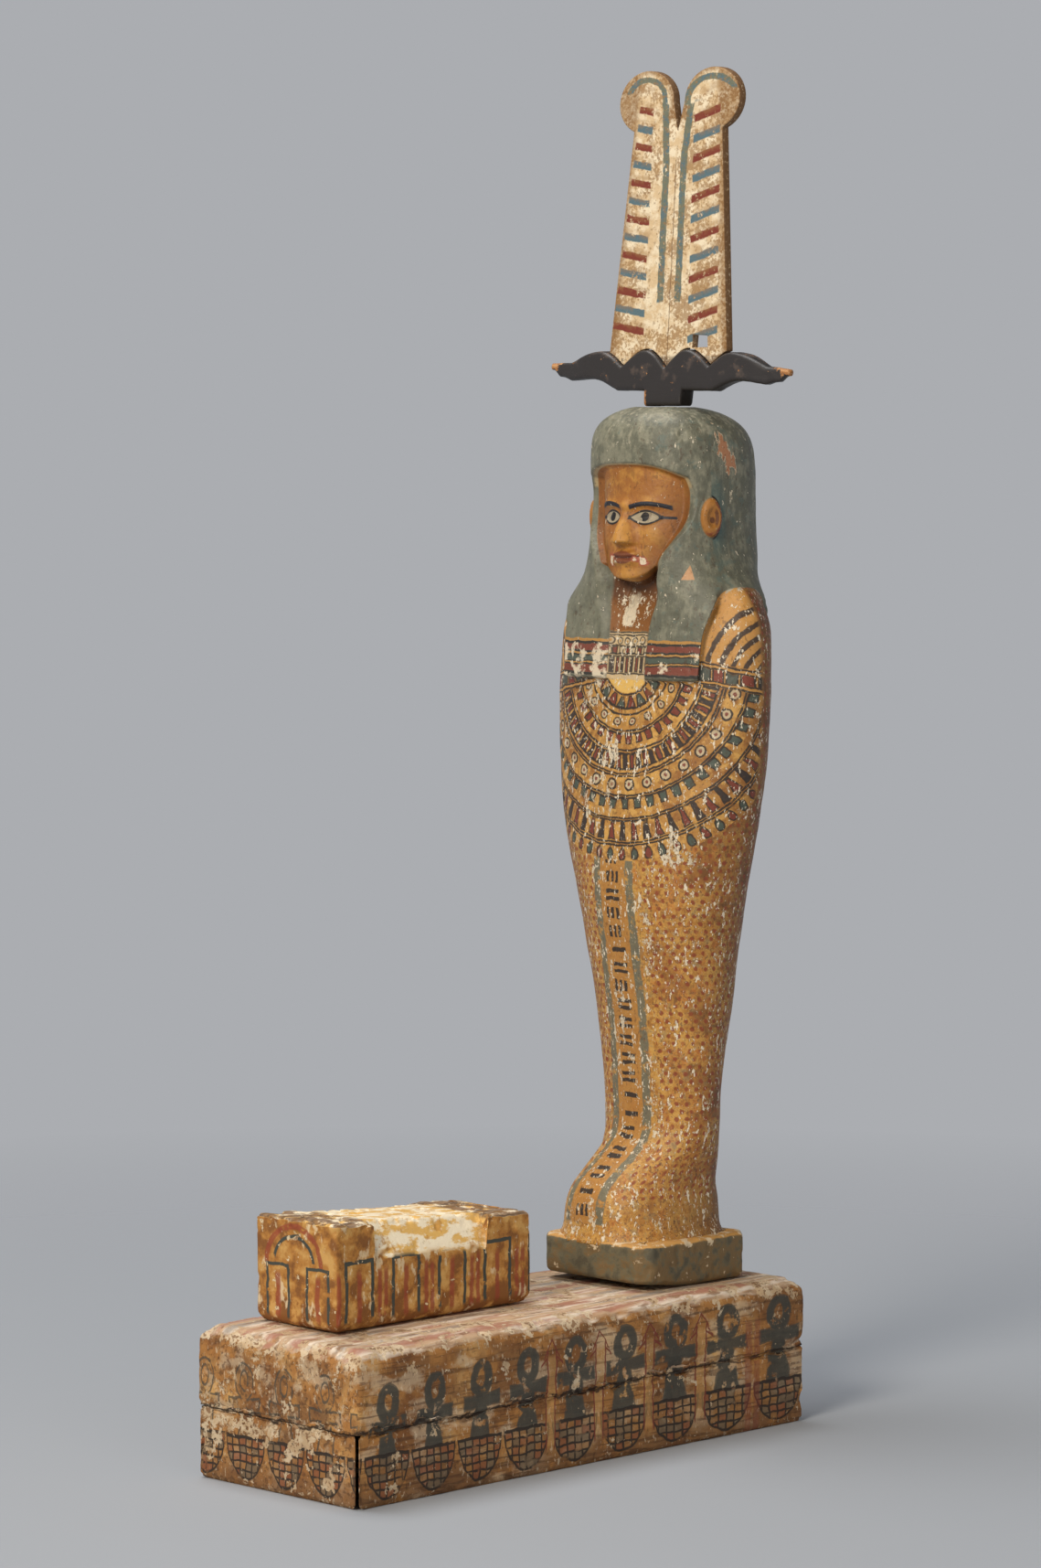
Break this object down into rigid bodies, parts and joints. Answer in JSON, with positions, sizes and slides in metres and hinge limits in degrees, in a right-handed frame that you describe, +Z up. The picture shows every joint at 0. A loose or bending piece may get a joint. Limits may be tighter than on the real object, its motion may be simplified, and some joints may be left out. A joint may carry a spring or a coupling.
{
  "type": "ptah-sokar-osiris figure",
  "caption": "Painted wooden mummiform funerary figure with horned plume crown, standing on a long base with a small model sarcophagus.",
  "frame": {"origin": "middle of the base's underside, on the surface that it stands on", "axes": "+Z up through the figure, -Y the way the figure looks along its base, +X towards the figure's own left hand"},
  "size_m": [0.18, 0.342, 0.7493],
  "materials": {
    "painted_plank": "ochre paint on white gesso, worn, with dark green ankh signs",
    "painted_underbase": "worn ochre paint and bare brown wood",
    "painted_box": "yellow ochre paint with red and blue-grey panels, worn",
    "painted_figure": "painted gesso, satin, ochre body and face with a grey-green wig",
    "black_horns": "black paint, bare wood at the tips",
    "gessoed_plumes": "cream gesso with red and blue-green bars, matt"
  },
  "bodies": {
    "root": {"base_top_plank": "painted_plank", "base_end_board": "painted_underbase", "base_lower_block": "painted_underbase", "model_sarcophagus": "painted_box", "figure": "painted_figure", "crown_horns": "black_horns", "crown_plumes": "gessoed_plumes"}
  },
  "joints": []
}
